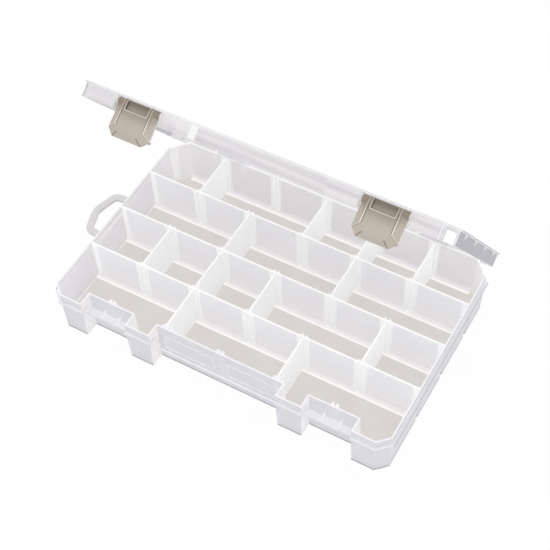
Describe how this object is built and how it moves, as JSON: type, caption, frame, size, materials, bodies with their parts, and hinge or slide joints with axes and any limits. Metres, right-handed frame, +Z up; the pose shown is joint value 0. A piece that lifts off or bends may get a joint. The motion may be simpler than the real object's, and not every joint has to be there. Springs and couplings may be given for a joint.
{
  "type": "compartment storage box",
  "caption": "Clear shallow storage box with a hinged lid, snap latches, fixed rows holding removable divider plates, a stepped front wall and a side hanging loop.",
  "frame": {"origin": "on the flat underside of the tray, under the crossing of the middle slot line and the middle row wall", "axes": "+X to the right along the rows, +Y from the front to the hinge at the back, +Z up"},
  "size_m": [0.3664, 0.2302, 0.2278],
  "materials": {
    "tray_clear": "translucent gloss",
    "lid_clear": "clear gloss",
    "divider_clear": "translucent satin",
    "latch_taupe": "opaque satin"
  },
  "bodies": {
    "tray": {"tray": "tray_clear"},
    "lid": {"lid": "lid_clear"},
    "latch_left": {"latch_left": "latch_taupe"},
    "latch_right": {"latch_right": "latch_taupe"},
    "divider_r1_s1": {"divider_r1_s1": "divider_clear"},
    "divider_r1_s3": {"divider_r1_s3": "divider_clear"},
    "divider_r1_s4": {"divider_r1_s4": "divider_clear"},
    "divider_r1_s5": {"divider_r1_s5": "divider_clear"},
    "divider_r2_s2": {"divider_r2_s2": "divider_clear"},
    "divider_r2_s4": {"divider_r2_s4": "divider_clear"},
    "divider_r3_s1": {"divider_r3_s1": "divider_clear"},
    "divider_r3_s2": {"divider_r3_s2": "divider_clear"},
    "divider_r3_s3": {"divider_r3_s3": "divider_clear"},
    "divider_r3_s5": {"divider_r3_s5": "divider_clear"},
    "divider_r4_s2": {"divider_r4_s2": "divider_clear"},
    "divider_r4_s4": {"divider_r4_s4": "divider_clear"}
  },
  "joints": [
    {"name": "lid_hinge", "type": "hinge", "parent": "tray", "child": "lid", "pos_m": [0, 0.1055, 0.041], "axis": [-1, 0, 0], "range_deg": [-53.6, 126.4]},
    {"name": "latch_left_hinge", "type": "hinge", "parent": "lid", "child": "latch_left", "pos_m": [-0.112, -0.01877, 0.22035], "axis": [-1, 0, 0], "range_deg": [-4, 76]},
    {"name": "latch_right_hinge", "type": "hinge", "parent": "lid", "child": "latch_right", "pos_m": [0.112, -0.01877, 0.22035], "axis": [-1, 0, 0], "range_deg": [-4, 76]},
    {"name": "divider_r1_s1_lift", "type": "slide", "parent": "tray", "child": "divider_r1_s1", "axis": [0, 0, 1], "range_m": [0, 0.016]},
    {"name": "divider_r1_s3_lift", "type": "slide", "parent": "tray", "child": "divider_r1_s3", "axis": [0, 0, 1], "range_m": [0, 0.016]},
    {"name": "divider_r1_s4_lift", "type": "slide", "parent": "tray", "child": "divider_r1_s4", "axis": [0, 0, 1], "range_m": [0, 0.016]},
    {"name": "divider_r1_s5_lift", "type": "slide", "parent": "tray", "child": "divider_r1_s5", "axis": [0, 0, 1], "range_m": [0, 0.016]},
    {"name": "divider_r2_s2_lift", "type": "slide", "parent": "tray", "child": "divider_r2_s2", "axis": [0, 0, 1], "range_m": [0, 0.047]},
    {"name": "divider_r2_s4_lift", "type": "slide", "parent": "tray", "child": "divider_r2_s4", "axis": [0, 0, 1], "range_m": [0, 0.047]},
    {"name": "divider_r3_s1_lift", "type": "slide", "parent": "tray", "child": "divider_r3_s1", "axis": [0, 0, 1], "range_m": [0, 0.047]},
    {"name": "divider_r3_s2_lift", "type": "slide", "parent": "tray", "child": "divider_r3_s2", "axis": [0, 0, 1], "range_m": [0, 0.047]},
    {"name": "divider_r3_s3_lift", "type": "slide", "parent": "tray", "child": "divider_r3_s3", "axis": [0, 0, 1], "range_m": [0, 0.047]},
    {"name": "divider_r3_s5_lift", "type": "slide", "parent": "tray", "child": "divider_r3_s5", "axis": [0, 0, 1], "range_m": [0, 0.047]},
    {"name": "divider_r4_s2_lift", "type": "slide", "parent": "tray", "child": "divider_r4_s2", "axis": [0, 0, 1], "range_m": [0, 0.047]},
    {"name": "divider_r4_s4_lift", "type": "slide", "parent": "tray", "child": "divider_r4_s4", "axis": [0, 0, 1], "range_m": [0, 0.047]}
  ]
}
